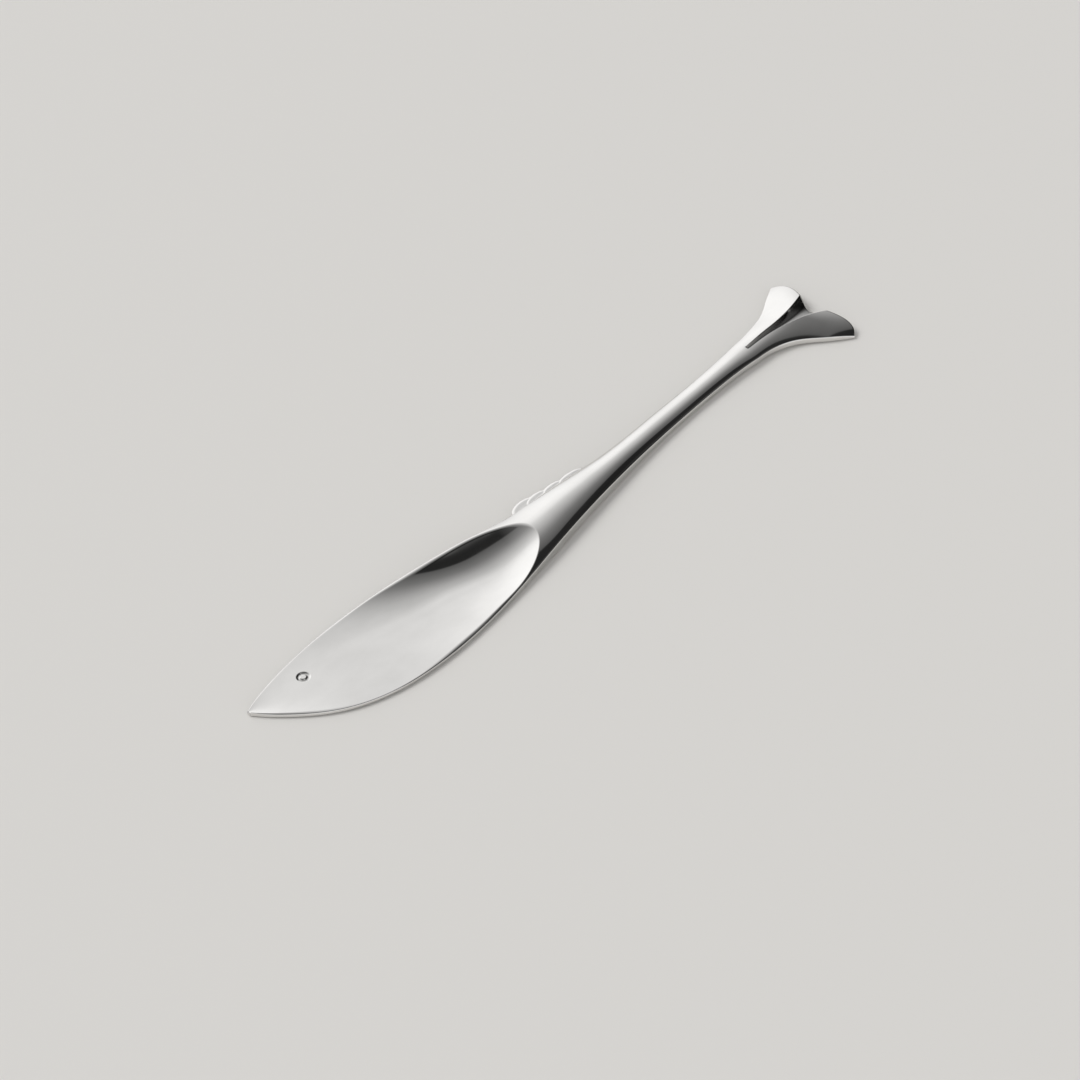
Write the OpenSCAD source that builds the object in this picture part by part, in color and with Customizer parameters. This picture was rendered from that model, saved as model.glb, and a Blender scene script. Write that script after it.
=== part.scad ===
// Butter spreader shaped like a fish: a leaf blade with a dish, an eye, a scalloped fin, a domed handle
// and a forked tail. Millimetres. X runs from the nose to the tail, Y from the belly to the back, and Z up
// from the surface that it lies on. Places across the object (Y) are measured from the tail's own line, and
// places along it (X) from the nose. The middle of its footprint is then set at the origin.

/* [Blade] */
// Nose to the plane where the handle starts
blade_length = 76; // [68:0.5:88]
// Nose to the widest place of the blade
wide_at = 33; // [28:0.5:38]
// Belly below the tail's line at the widest place
belly_depth = 22.2; // [18:0.1:26]
// Back above the tail's line at the widest place
back_height = 2.9; // [1:0.1:5]
// Nose below the tail's line
nose_drop = 4; // [2:0.1:7]
// Width of the blunt nose
nose_width = 0.7; // [0.4:0.1:2]
// Thickness of the blade's edge
blade_edge = 1; // [0.9:0.05:1.6]
// Thickness of the blade's floor
floor_thickness = 0.9; // [0.8:0.05:1.2]
// Thickness of the floor under the dish
dish_floor = 0.65; // [0.6:0.05:0.9]
// Extra height of the back edge beside the dish
spine_height = 1.7; // [0.6:0.1:2]
// Start of the dish's rising floor, ahead of the handle
dish_run = 20; // [14:0.5:26]
// Land between the dish's rim and the handle
dish_land = 1; // [0.6:0.1:2]
// Rounding of the upper and lower edges
edge_round = 0.25; // [0.1:0.05:0.3]

/* [Eye] */
// Nose to the eye's centre
eye_at = 14.4; // [11:0.1:20]
// Eye below the tail's line
eye_drop = 4.4; // [3:0.1:8]
// Outer diameter of the ring around the eye
eye_ring_d = 3.2; // [2.2:0.1:4]
// Diameter of the pupil stud
pupil_d = 2; // [1:0.02:2.1]
// Diameter of the flat on top of the stud
pupil_face_d = 1; // [0.6:0.05:1.4]
// Radial room around the stud in its bore
pupil_clearance = 0.02; // [0.01:0.01:0.05]
// Depth of the ring
ring_depth = 0.2; // [0.15:0.05:0.5]
// Depth of the stud's seat under the ring
seat_depth = 0.15; // [0.1:0.05:0.25]

/* [Handle] */
// Blade to the plane where the tail starts
handle_length = 70; // [60:0.5:85]
// Width of the neck at the blade
neck_width = 13.7; // [11:0.1:16]
// Back of the neck below the tail's line
neck_drop = 1.05; // [0:0.05:2]
// Height of the neck's side wall
neck_edge = 2.2; // [1.9:0.1:3]
// Height of the neck's dome over its side walls
neck_dome = 1.57; // [1.2:0.01:2.4]
// Height of the waist's side wall
waist_edge = 1.5; // [1.2:0.1:2.2]
// Height of the waist's dome over its side walls
waist_dome = 0.85; // [0.6:0.05:1.5]
// Width of the handle where the tail starts
root_width = 6.9; // [5:0.1:9]
// Hollow of the underside's edges at the waist
waist_lift = 0.6; // [0.3:0.05:0.8]

/* [Fin] */
// Blade to the front of the fin
fin_setback = 0.4; // [0.2:0.1:3]
// Length of the fin
fin_length = 20.2; // [16:0.1:24]
// Reach of the first scallop from the back
fin_reach = 2.55; // [1.5:0.05:3.5]
// Depth of the pockets in the scallops
pocket_depth = 0.15; // [0.1:0.05:0.6]

/* [Tail] */
// Start of the tail to its farthest point
tail_length = 23.2; // [18:0.2:28]
// Tip to tip across the fork
tail_span = 25.9; // [20:0.1:32]
// Height of the tail's side wall at the root
root_edge = 1.8; // [1.4:0.1:2.4]
// Height of the tail's side wall at the tips
tip_edge = 1.1; // [0.8:0.1:2]
// Height of the lobes' inner ridges over the side wall at the end
lobe_rise = 3.2; // [2:0.1:4]
// Start of the channel behind the handle
channel_setback = 1.5; // [1:0.1:4]
// Depth of the channel at the end
channel_depth = 1.95; // [1:0.05:2.2]
// Depth of the notch between the lobes
notch_depth = 2.7; // [2:0.1:5]

/* [Hidden] */
$fn = 64;

tail_at = blade_length + handle_length;
rear_blade = blade_length - wide_at;
dish_end = blade_length - dish_land;
dish_start = blade_length - dish_run;
// Power of the rise of the dish's floor, and rise of its walls one half-width from its lowest line
dish_climb = 3.8;
back_rise = 2.8;
belly_rise = 2.35;
spine_start = 0.6 * wide_at;
spine_run_out = 4;
spine_end = blade_length + spine_run_out;
fin_at = blade_length + fin_setback;
fin_clear = 1;
fin_end = fin_at + fin_length + fin_clear;
after_fin = tail_at - fin_end;
nose_back = nose_width / 2 - nose_drop;
nose_back_slope = 0.5;
nose_belly = -nose_width / 2 - nose_drop;
nose_belly_slope = -1.6;
nose_dome = 0.6;
nose_lift = 0.1;
rear_lift = 0.15;
neck_lift = 0.25;
neck_swell = 0.1;
neck_belly = -neck_drop - neck_width;
root_mid = 0.5;
root_back = root_mid + root_width / 2;
root_belly = root_mid - root_width / 2;
root_back_slope = 0.18;
root_belly_slope = -0.02;
root_dome = 0.95 * waist_dome;
root_lift = 0.85 * waist_lift;
flat_share = 0.7;
fin_step = 0.1;
overcut = 0.1;

function mix(a, b, k) = a + (b - a) * k;
function clip(k) = min(1, max(0, k));
function ease(k) = let (c = clip(k)) c * c * c * (10 + c * (6 * c - 15));
// How far the underside turns up across its width: not at all in its flat middle, fully at its edges
function turn_up(share) = pow(max(0, (abs(share) - flat_share) / (1 - flat_share)), 2);

// Smooth curve through points [x, value] with given slopes at both ends: bends solved point by point
function sweep_down(p, s0, s1, i) =
    let (
        n = len(p) - 1,
        before = i > 0 ? p[i][0] - p[i - 1][0] : 0,
        after = i < n ? p[i + 1][0] - p[i][0] : 0,
        slope_in = i > 0 ? (p[i][1] - p[i - 1][1]) / before : s0,
        slope_out = i < n ? (p[i + 1][1] - p[i][1]) / after : s1,
        prior = i > 0 ? sweep_down(p, s0, s1, i - 1) : [],
        last = i > 0 ? prior[i - 1] : [0, 0],
        pivot = 2 * (before + after) - before * last[0]
    )
    concat(prior, [[after / pivot, (6 * (slope_out - slope_in) - before * last[1]) / pivot]]);
function sweep_up(rows, i) =
    i == len(rows) - 1
        ? [rows[i][1]]
        : let (rest = sweep_up(rows, i + 1)) concat([rows[i][1] - rows[i][0] * rest[0]], rest);
function curve(p, s0, s1) = [p, sweep_up(sweep_down(p, s0, s1, len(p) - 1), 0)];
function find(p, x, i) = i >= len(p) - 2 || x <= p[i + 1][0] ? i : find(p, x, i + 1);
function at(c, x) =
    let (
        p = c[0],
        i = find(p, x, 0),
        h = p[i + 1][0] - p[i][0],
        a = p[i + 1][0] - x,
        b = x - p[i][0],
        m = c[1][i],
        n = c[1][i + 1]
    )
    (m * a * a * a + n * b * b * b) / (6 * h)
        + (p[i][1] / h - m * h / 6) * a
        + (p[i + 1][1] / h - n * h / 6) * b;

// Outline of the body seen from above
back_front = curve([
    [0, nose_back],
    [wide_at / 3, mix(nose_back, back_height, 0.57)],
    [wide_at, back_height],
    [wide_at + 0.53 * rear_blade, mix(back_height, -neck_drop, 0.48)],
    [wide_at + 0.86 * rear_blade, mix(back_height, -neck_drop, 0.955)],
    [blade_length, -neck_drop]
], nose_back_slope, 0);
back_rear = curve([
    [fin_end, -neck_drop],
    [fin_end + 0.43 * after_fin, mix(-neck_drop, root_back, 0.37)],
    [tail_at, root_back]
], 0, root_back_slope);
belly_line = curve([
    [0, nose_belly],
    [0.14 * wide_at, mix(nose_belly, -belly_depth, 0.33)],
    [0.34 * wide_at, mix(nose_belly, -belly_depth, 0.66)],
    [0.61 * wide_at, mix(nose_belly, -belly_depth, 0.9)],
    [wide_at, -belly_depth],
    [wide_at + 0.4 * rear_blade, mix(-belly_depth, neck_belly, 0.21)],
    [blade_length, neck_belly],
    [blade_length + 0.27 * handle_length, mix(neck_belly, root_belly, 0.4)],
    [blade_length + 0.59 * handle_length, mix(neck_belly, root_belly, 0.78)],
    [blade_length + 0.84 * handle_length, mix(neck_belly, root_belly, 0.96)],
    [tail_at, root_belly]
], nose_belly_slope, root_belly_slope);
function back(x) =
    x < blade_length ? at(back_front, x) : x < fin_end ? -neck_drop : at(back_rear, x);
function belly(x) = at(belly_line, x);
function mid(x) = (back(x) + belly(x)) / 2;
function half(x) = (back(x) - belly(x)) / 2;
// Half-width inside the rounded edges
function core(x) = half(x) - min(edge_round, half(x) / 3);

// Heights along the body: side wall, dome, underside's edge, back edge beside the dish
edge_line = curve([
    [0, 0.9 * blade_edge],
    [wide_at, blade_edge],
    [wide_at + 0.63 * rear_blade, mix(blade_edge, neck_edge, 0.25)],
    [blade_length, neck_edge],
    [blade_length + 0.2 * handle_length, neck_edge + neck_swell],
    [blade_length + 0.74 * handle_length, waist_edge],
    [tail_at, root_edge]
], 0, 0);
dome_line = curve([
    [0, nose_dome],
    [wide_at, 1.13 * neck_dome],
    [wide_at + 0.63 * rear_blade, 1.08 * neck_dome],
    [blade_length, neck_dome],
    [blade_length + 0.2 * handle_length, mix(neck_dome, waist_dome, 0.3)],
    [blade_length + 0.37 * handle_length, mix(neck_dome, waist_dome, 0.58)],
    [blade_length + 0.7 * handle_length, waist_dome],
    [tail_at, root_dome]
], 0, 0);
lift_line = curve([
    [0, nose_lift],
    [wide_at + 0.63 * rear_blade, rear_lift],
    [blade_length + 0.2 * handle_length, neck_lift],
    [blade_length + 0.7 * handle_length, waist_lift],
    [tail_at, root_lift]
], 0, 0);
spine_line = curve([
    [spine_start, 0],
    [wide_at, 0.1 * spine_height],
    [wide_at + 0.25 * rear_blade, 0.5 * spine_height],
    [wide_at + 0.45 * rear_blade, 0.81 * spine_height],
    [wide_at + 0.67 * rear_blade, spine_height],
    [wide_at + 0.8 * rear_blade, 0.71 * spine_height],
    [blade_length, 0.06 * spine_height],
    [spine_end, 0]
], 0, 0);
function spine(x) = at(spine_line, min(spine_end, max(spine_start, x)));
// Places across the body run from 1 at the back to -1 at the belly
function dome(x, t) =
    at(edge_line, x) + spine(x) * (t + 1) / 2 + at(dome_line, x) * (1 - t * t);

// The dish: its floor, its lowest line and the bows of its walls, with the steeper one on the back's side
floor_line = curve([
    [0, floor_thickness],
    [0.6 * wide_at, floor_thickness],
    [wide_at + 0.25 * rear_blade, mix(floor_thickness, dish_floor, 0.45)],
    [wide_at + 0.5 * rear_blade, dish_floor],
    [dish_end, dish_floor]
], 0, 0);
dish_axis = curve([
    [0, 0.39],
    [wide_at, 0.34],
    [wide_at + 0.25 * rear_blade, 0.2],
    [wide_at + 0.45 * rear_blade, 0.12],
    [wide_at + 0.67 * rear_blade, -0.11],
    [dish_end, -0.1]
], 0, 0);
back_bow = curve([
    [0, 0.029 * back_rise],
    [0.6 * wide_at, 0.071 * back_rise],
    [wide_at, 0.321 * back_rise],
    [wide_at + 0.25 * rear_blade, 0.714 * back_rise],
    [wide_at + 0.45 * rear_blade, back_rise],
    [wide_at + 0.67 * rear_blade, 0.857 * back_rise],
    [dish_end, 0.679 * back_rise]
], 0, 0);
belly_bow = curve([
    [0, 0.043 * belly_rise],
    [0.6 * wide_at, 0.0085 * belly_rise],
    [wide_at, 0.038 * belly_rise],
    [wide_at + 0.25 * rear_blade, 0.123 * belly_rise],
    [wide_at + 0.45 * rear_blade, 0.221 * belly_rise],
    [wide_at + 0.67 * rear_blade, 0.553 * belly_rise],
    [dish_end, belly_rise]
], 0, 0);
dish_top = dome(dish_end, at(dish_axis, dish_end));
function dish(x, t) =
    let (
        off = t - at(dish_axis, x),
        climb = pow(max(0, (x - dish_start) / (dish_end - dish_start)), dish_climb),
        bow = mix(at(belly_bow, x), at(back_bow, x), ease(0.5 + 2 * off))
    )
    mix(at(floor_line, x), dish_top, climb) + bow * off * off;
function body_top(x, t) = x < dish_end ? min(dome(x, t), dish(x, t)) : dome(x, t);

// Distance from the dish's lowest line to where the dish meets the dome, on one side
function halve(x, axis, side, near, far, i) =
    let (k = (near + far) / 2, t = axis + side * k)
    i == 0 ? near
        : dome(x, t) > dish(x, t) ? halve(x, axis, side, k, far, i - 1)
        : halve(x, axis, side, near, k, i - 1);
// Place of the dish's rim on one side, as a share of the half-width inside the rounded edges
function rim(x, side) =
    let (
        axis = at(dish_axis, x),
        inside = core(x) / half(x),
        least = 0.05,
        widest = 0.96,
        halvings = 16,
        most = widest * inside - side * axis,
        reach = x >= dish_end ? least : max(least, halve(x, axis, side, 0, most, halvings))
    )
    (axis + side * reach) / inside;

// One cross-section: points over the top from the back to the belly, then back under the bottom
function section(x, ts) =
    let (
        c = mid(x),
        w = half(x),
        inner = core(x),
        r = w - inner,
        n = len(ts) - 1,
        low = at(lift_line, x),
        tops = [for (t = ts) body_top(x, t * inner / w)]
    )
    concat(
        [[x, c + w, tops[0] - r]],
        [for (i = [0 : n]) [x, c + ts[i] * inner, tops[i]]],
        [[x, c - w, tops[n] - r], [x, c - w, low + r]],
        [for (i = [n : -1 : 0]) [x, c + ts[i] * inner, low * turn_up(ts[i])]],
        [[x, c + w, low + r]]
    );
function blade_ts(x) =
    let (a = rim(x, 1), b = rim(x, -1), n = 12, m = 3)
    concat(
        [for (i = [0 : m - 1]) mix(1, a, i / m)],
        [for (i = [0 : n]) mix(a, b, (1 - cos(180 * i / n)) / 2)],
        [for (i = [m - 1 : -1 : 0]) mix(-1, b, i / m)]
    );
handle_parts = 14;
handle_ts = [for (i = [0 : handle_parts]) cos(180 * i / handle_parts)];

// Moves the middle of the object's footprint to the origin
module place() {
    translate([-tail_end / 2, (belly_depth - at(tail_mid_line, tip_at) - tail_span / 2) / 2, 0]) children();
}

// Skin over a row of cross-sections, closed at both ends
module skin(rows) {
    n = len(rows[0]);
    m = len(rows) - 1;
    k = n / 2 - 1;
    polyhedron(
        points = [for (row = rows) for (p = row) p],
        faces = concat(
            [for (i = [0 : m - 1]) for (j = [0 : n - 1]) [i * n + j, i * n + (j + 1) % n, (i + 1) * n + j]],
            [for (i = [0 : m - 1]) for (j = [0 : n - 1])
                [(i + 1) * n + j, i * n + (j + 1) % n, (i + 1) * n + (j + 1) % n]],
            [for (j = [0 : k - 1]) [j, n - 1 - j, j + 1]],
            [for (j = [0 : k - 1]) [j + 1, n - 1 - j, n - 2 - j]],
            [for (j = [0 : k - 1]) [m * n + j, m * n + j + 1, m * n + n - 1 - j]],
            [for (j = [0 : k - 1]) [m * n + j + 1, m * n + n - 2 - j, m * n + n - 1 - j]]
        )
    );
}

eye_share = (-eye_drop - mid(eye_at)) / half(eye_at);
eye_top = body_top(eye_at, eye_share);
ring_low = eye_top - ring_depth;
seat = ring_low - seat_depth;
bore_d = pupil_d + 2 * pupil_clearance;

module blade() {
    bend_at = wide_at + 0.6 * rear_blade;
    ends = 12;
    middle = 6;
    nose_gather = 1.7;
    rear_gather = 2;
    rows = concat(
        [for (i = [0 : ends]) wide_at * pow(i / ends, nose_gather)],
        [for (i = [1 : middle]) mix(wide_at, bend_at, i / middle)],
        [for (i = [1 : ends]) dish_end - (dish_end - bend_at) * pow(1 - i / ends, rear_gather)],
        [blade_length]
    );
    ring_slope = (eye_ring_d - bore_d) / ring_depth;
    ring_top_d = eye_ring_d + ring_slope * overcut;
    color("silver")
    place()
    difference() {
        skin([for (x = rows) section(x, blade_ts(x))]);
        translate([eye_at, -eye_drop, seat])
            cylinder(d = bore_d, h = seat_depth + overcut);
        translate([eye_at, -eye_drop, ring_low])
            cylinder(d1 = bore_d, d2 = ring_top_d, h = ring_depth + overcut);
    }
}

module eye_stud() {
    stud_height = seat_depth + ring_depth;
    color("gainsboro")
    place()
    translate([eye_at, -eye_drop, seat])
    rotate_extrude()
    polygon([
        [0, 0],
        [pupil_d / 2, 0],
        [pupil_d / 2, seat_depth],
        [pupil_face_d / 2, stud_height],
        [0, stud_height]
    ]);
}

module handle() {
    rows = 36;
    color("silver")
    place()
    skin([for (i = [0 : rows]) section(mix(blade_length, tail_at, i / rows), handle_ts)]);
}

// Scallops and their pockets: centre, half-length and half-width in shares of the fin, and lean in degrees
scallops = [
    [0.176, 0.14, 0.182, 0.86, 7],
    [0.349, 0.23, 0.154, 0.58, 6],
    [0.571, 0.18, 0.147, 0.515, 4],
    [0.823, 0.07, 0.177, 0.545, 0]
];
pockets = [
    [0.156, 0.52, 0.121, 0.22, 16],
    [0.333, 0.364, 0.106, 0.178, 11],
    [0.565, 0.32, 0.111, 0.147, 8]
];

// Ellipses that lean towards the tail
module leaves(list) {
    for (leaf = list)
        translate([leaf[0] * fin_length, leaf[1] * fin_reach])
        rotate(leaf[4])
        scale([leaf[2] * fin_length, leaf[3] * fin_reach])
        circle(r = 1);
}

module dorsal_fin() {
    inset = edge_round + fin_step;
    fin_low = at(lift_line, blade_length) + inset;
    fin_top = neck_edge - inset;
    color("lightgray")
    place()
    translate([fin_at, -neck_drop, fin_low])
    difference() {
        linear_extrude(height = fin_top - fin_low)
        intersection() {
            leaves(scallops);
            square([fin_length, 2 * fin_reach]);
        }
        translate([0, 0, fin_top - fin_low - pocket_depth])
        linear_extrude(height = pocket_depth + overcut)
        leaves(pockets);
    }
}

// Tail: centre line, half-width, heights and channel
tail_end = tail_at + tail_length;
tip_setback = 1.8;
tip_at = tail_end - tip_setback;
notch_at = tail_end - notch_depth;
// Share of the half-width where a lobe reaches farthest
lobe_crest = 0.62;
crest_power = ln(0.5) / ln(lobe_crest);
lobe_bulge = mix(notch_depth, tip_setback, lobe_crest);
lobe_slope = 2 * lobe_rise / tail_span;
end_run = 5;
end_passes = 8;
end_drop = 0.5;
past_run = 2;
past_end = tail_end + past_run;
tail_sway = 0.5;
tail_end_slope = -0.05;
lobe_flare = 0.75;
// Powers of the top's fall to its sides: a round dome at the root turns into a ridge beside the channel
dome_power = 2;
ridge_power = 1.25;
ridge_share = 0.8;
// The channel starts as a slot with upright walls and opens out between leaning ones
channel_at = tail_at + channel_setback;
slot_ease = 0.6;
cut_run = 0.5;
slot_flare = 0.03;
channel_flare = 0.5;
slot_dip = 0.1;
channel_dip = 0.03;
upright_power = 4;
leaning_power = 2.5;
tail_mid_line = curve([
    [tail_at, root_mid],
    [tail_at + 0.3 * tail_length, root_mid + 1.1 * tail_sway],
    [tail_at + 0.52 * tail_length, root_mid + 0.8 * tail_sway],
    [tail_at + 0.73 * tail_length, root_mid],
    [tail_end, root_mid - 0.6 * tail_sway]
], (root_back_slope + root_belly_slope) / 2, tail_end_slope);
tail_half_line = curve([
    [tail_at, root_width / 2],
    [tail_at + 0.17 * tail_length, mix(root_width, tail_span, 0.035) / 2],
    [tail_at + 0.35 * tail_length, mix(root_width, tail_span, 0.13) / 2],
    [tail_at + 0.52 * tail_length, mix(root_width, tail_span, 0.3) / 2],
    [tail_at + 0.73 * tail_length, mix(root_width, tail_span, 0.67) / 2],
    [tip_at, tail_span / 2],
    [past_end, mix(root_width, tail_span, 1.3) / 2]
], (root_back_slope - root_belly_slope) / 2, lobe_flare);
tail_edge_line = curve([
    [tail_at, root_edge],
    [tail_at + 0.4 * tail_length, mix(root_edge, tip_edge, 0.25)],
    [past_end, tip_edge]
], 0, 0);
tail_slope_line = curve([
    [tail_at, 2 * root_dome / root_width],
    [tail_at + 0.7 * tail_length, lobe_slope],
    [past_end, 0.9 * lobe_slope]
], 0, 0);
channel_half_line = curve([
    [channel_at, 0.07 * root_width],
    [mix(channel_at, tail_end, 0.27), 0.105 * root_width],
    [mix(channel_at, tail_end, 0.45), 0.15 * root_width],
    [mix(channel_at, tail_end, 0.62), 0.24 * root_width],
    [mix(channel_at, tail_end, 0.76), 0.36 * root_width],
    [past_end, 0.82 * root_width]
], slot_flare, channel_flare);
channel_line = curve([
    [channel_at, 0.3 * channel_depth],
    [mix(channel_at, tail_end, 0.15), 0.43 * channel_depth],
    [mix(channel_at, tail_end, 0.6), 0.82 * channel_depth],
    [past_end, channel_depth]
], slot_dip, channel_dip);
function tail_half(x) = at(tail_half_line, x);
function lip(x) = at(channel_half_line, max(channel_at, x));
function channel(x) =
    at(channel_line, max(channel_at, x)) * ease((x - channel_at) / slot_ease + 0.5);
// Walls of the channel: upright at its start and leaning back at its end
function wall_power(x) =
    mix(upright_power, leaning_power, ease((x - channel_at) / (tail_end - channel_at)));

// Where the lobes end, from the notch at share 0 past the crest to the tips at share 1
function end_of(share) =
    mix(notch_at, tip_at, share) + lobe_bulge * sin(180 * pow(share, crest_power));
// How far the lobes' ends round off downwards
function end_fall(x, share) = end_drop * pow(max(0, 1 - (end_of(share) - x) / end_run), 2);

// Height of the lobes before the channel is cut, at one distance from the centre line
function tail_surface(x, away) =
    let (
        share = away / tail_half(x),
        power = mix(dome_power, ridge_power, ease((x - tail_at) / (ridge_share * tail_length))),
        rise = at(tail_slope_line, x) * tail_half(x)
    )
    at(tail_edge_line, x) + rise * (1 - pow(share, power)) - end_fall(x, share);

// Distance from the centre line of one line of points: k below 1 is in the channel, from 1 to 2 on the lobe
function reach(x, k) = k <= 1 ? k * lip(x) : mix(lip(x), tail_half(x), k - 1);
function tail_top(x, k) =
    let (
        surface = tail_surface(x, reach(x, k)),
        groove = tail_surface(x, lip(x)) - channel(x) * (1 - pow(k, wall_power(x)))
    )
    k >= 1 ? surface : mix(surface, min(surface, groove), ease((x - channel_at) / cut_run + 1));
function end_at(k, x, i) =
    i == 0 ? x : end_at(k, end_of(reach(x, k) / tail_half(x)), i - 1);

function tail_section(s, ks) =
    let (
        n = len(ks) - 1,
        lift = root_lift * (1 - s),
        points = [for (i = [0 : n])
            let (
                k = abs(ks[i]),
                side = ks[i] < 0 ? -1 : 1,
                x = mix(tail_at, end_at(k, notch_at, end_passes), s),
                edge = i == 0 || i == n,
                inset = i == 1 || i == n - 1 ? edge_round : 0
            )
            [
                x,
                at(tail_mid_line, x) + side * (reach(x, k) - inset),
                tail_top(x, k) - (edge ? edge_round : 0),
                edge ? lift + edge_round : lift * turn_up(reach(x, k) / tail_half(x))
            ]]
    )
    concat(
        [for (p = points) [p[0], p[1], p[2]]],
        [for (i = [n : -1 : 0]) [points[i][0], points[i][1], points[i][3]]]
    );

module tail() {
    start = channel_setback / (notch_at - tail_at);
    inner = [1, 0.94, 0.8, 0.6, 0.3];
    crest = 1 + (lobe_crest * tail_half(tail_end) - lip(tail_end)) / (tail_half(tail_end) - lip(tail_end));
    parts = 4;
    outer = concat(
        [2],
        [for (i = [0 : parts]) mix(2, crest, i / parts)],
        [for (i = [1 : parts - 1]) mix(crest, 1, i / parts)]
    );
    one_side = concat(outer, inner);
    ks = concat(one_side, [0], [for (i = [len(one_side) - 1 : -1 : 0]) -one_side[i]]);
    rows = 18;
    run_in = 1.4;
    gather = 1.4;
    steps = concat(
        [0, 0.55, 0.85, 1, 1.15, run_in] * start,
        [for (i = [1 : rows]) mix(run_in * start, 1, 1 - pow(1 - i / rows, gather))]
    );
    color("silver")
    place()
    skin([for (s = steps) tail_section(s, ks)]);
}

blade();
eye_stud();
handle();
dorsal_fin();
tail();
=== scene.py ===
# Butter spreader shaped like a fish: mirror-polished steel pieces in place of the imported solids, on a
# pale floor. Shapes are worked out in millimetres, X from the nose and Y from the tail's line, and
# become metres in place().
import math

import bpy
import numpy as np
from mathutils import Matrix, Vector


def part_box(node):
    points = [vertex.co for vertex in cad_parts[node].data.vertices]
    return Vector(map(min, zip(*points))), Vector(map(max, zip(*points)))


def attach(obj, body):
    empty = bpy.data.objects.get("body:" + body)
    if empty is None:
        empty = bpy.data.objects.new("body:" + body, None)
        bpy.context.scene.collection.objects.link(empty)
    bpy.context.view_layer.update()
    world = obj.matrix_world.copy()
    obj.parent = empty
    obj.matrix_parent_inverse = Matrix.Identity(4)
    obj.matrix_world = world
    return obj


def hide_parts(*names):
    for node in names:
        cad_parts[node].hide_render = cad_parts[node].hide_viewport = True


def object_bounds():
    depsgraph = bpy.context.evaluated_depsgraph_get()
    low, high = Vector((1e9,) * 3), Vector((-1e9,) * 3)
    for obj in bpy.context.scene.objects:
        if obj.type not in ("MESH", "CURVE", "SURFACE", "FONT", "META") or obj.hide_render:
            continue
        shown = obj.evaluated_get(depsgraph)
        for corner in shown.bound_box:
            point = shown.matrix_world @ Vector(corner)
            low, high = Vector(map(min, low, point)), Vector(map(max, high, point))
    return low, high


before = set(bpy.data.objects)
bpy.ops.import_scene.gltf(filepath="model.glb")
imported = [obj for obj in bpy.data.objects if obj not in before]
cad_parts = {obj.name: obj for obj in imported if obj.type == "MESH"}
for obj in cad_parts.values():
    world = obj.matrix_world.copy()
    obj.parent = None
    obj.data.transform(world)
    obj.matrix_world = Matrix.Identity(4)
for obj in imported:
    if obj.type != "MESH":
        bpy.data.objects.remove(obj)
cad_low, cad_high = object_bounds()

MM = 0.001
# Draws the polished skin in by a few hundredths of a millimetre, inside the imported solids' box
INSIDE = 0.9995
SLOT = "polished_steel"

# Lengths along the object, from the frame
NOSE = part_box("blade")[0].x / MM
BLADE_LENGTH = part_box("handle")[0].x / MM - NOSE
TAIL_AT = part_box("tail")[0].x / MM - NOSE
HANDLE_LENGTH = TAIL_AT - BLADE_LENGTH

# Blade: sizes in millimetres, slopes of the outline, and the rounding of the dish's rim
WIDE_AT = 33
BELLY_DEPTH = 22.2
BACK_HEIGHT = 2.9
NOSE_DROP = 4
NOSE_WIDTH = 0.7
NOSE_BACK_SLOPE = 0.5
NOSE_BELLY_SLOPE = -1.6
NOSE_DOME = 0.6
NOSE_LIFT = 0.1
REAR_LIFT = 0.15
BLADE_EDGE = 1
FLOOR_THICKNESS = 0.9
DISH_FLOOR = 0.65
SPINE_HEIGHT = 1.7
DISH_RUN = 20
DISH_LAND = 1
DISH_CLIMB = 3.8
EDGE_ROUND = 0.25
RIM_ROUND = 0.11
BACK_RIM_ROUND = 0.33
BACK_RIM_FROM = -0.3
BACK_RIM_TO = 0.5
REAR_BLADE = BLADE_LENGTH - WIDE_AT
BACK_RIM_RUN = 0.6 * REAR_BLADE
DISH_END = BLADE_LENGTH - DISH_LAND
DISH_START = BLADE_LENGTH - DISH_RUN
SPINE_START = 0.6 * WIDE_AT
SPINE_RUN_OUT = 4
SPINE_END = BLADE_LENGTH + SPINE_RUN_OUT

# Eye: sizes, the finely meshed reach around it, and how dull its ring is, which also sets how much
# painted shade darkens it
EYE_AT = 14.4
EYE_DROP = 4.4
EYE_RING_R = 1.6
PUPIL_R = 1
PUPIL_FACE_R = 0.5
BORE_R = 1.02
RING_DEPTH = 0.2
SEAT_DEPTH = 0.15
EYE_REACH = 1.1 * EYE_RING_R
EYE_DULL_AND_SHADE = 0.3

# Handle
NECK_WIDTH = 13.7
NECK_DROP = 1.05
NECK_EDGE = 2.2
NECK_DOME = 1.57
NECK_SWELL = 0.1
NECK_LIFT = 0.25
WAIST_EDGE = 1.5
WAIST_DOME = 0.85
ROOT_DOME = 0.95 * WAIST_DOME
ROOT_WIDTH = 6.9
ROOT_MID = 0.5
ROOT_BACK_SLOPE = 0.18
ROOT_BELLY_SLOPE = -0.02
WAIST_LIFT = 0.6
ROOT_LIFT = 0.85 * WAIST_LIFT
# Share of the half-width over which the underside is flat
FLAT_SHARE = 0.7

# Fin: its place, and the fall of its scallops' rims and pockets
FIN_SETBACK = 0.4
FIN_LENGTH = 20.2
FIN_REACH = 2.55
FIN_CLEAR = 1
FIN_STEP = 0.1
FIN_END_GAP = 0.03
FIN_EDGE_SHARE = 0.6
FIN_LIMIT = 1.5 * FIN_REACH
POCKET_DEPTH = 0.02
SCALLOP_DROP = 0.12
SCALLOP_RIM = 0.75
SCALLOP_STEP = 0.04
POCKET_FROM = 0.6 * SCALLOP_RIM
POCKET_RUN = 2 * SCALLOP_RIM
FIN_AT = BLADE_LENGTH + FIN_SETBACK
FIN_END = FIN_AT + FIN_LENGTH + FIN_CLEAR
AFTER_FIN = TAIL_AT - FIN_END

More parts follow.
